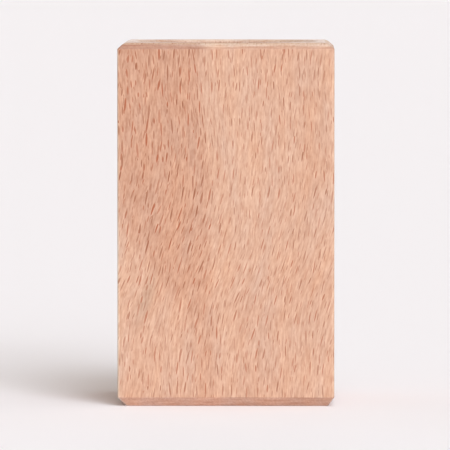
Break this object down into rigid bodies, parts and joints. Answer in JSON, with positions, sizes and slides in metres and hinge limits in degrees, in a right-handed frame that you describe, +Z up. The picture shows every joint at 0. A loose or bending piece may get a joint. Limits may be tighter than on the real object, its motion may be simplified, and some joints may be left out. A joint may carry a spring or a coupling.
{
  "type": "pen holder cup",
  "caption": "Square upright wooden desk cup with a round well for pens, bevelled rim and foot, glued up from boards and closed by a round base plug.",
  "frame": {"origin": "centre of the underside", "axes": "+Z up along the well, front face towards -Y, +X to the viewer's right"},
  "size_m": [0.06, 0.06, 0.1006],
  "materials": {
    "beech_board": "clear satin, planed and sanded",
    "beech_plug": "clear satin, turned"
  },
  "bodies": {
    "root": {"front_board": "beech_board", "back_board": "beech_board", "left_stave": "beech_board", "right_stave": "beech_board", "base_plug": "beech_plug"}
  },
  "joints": []
}
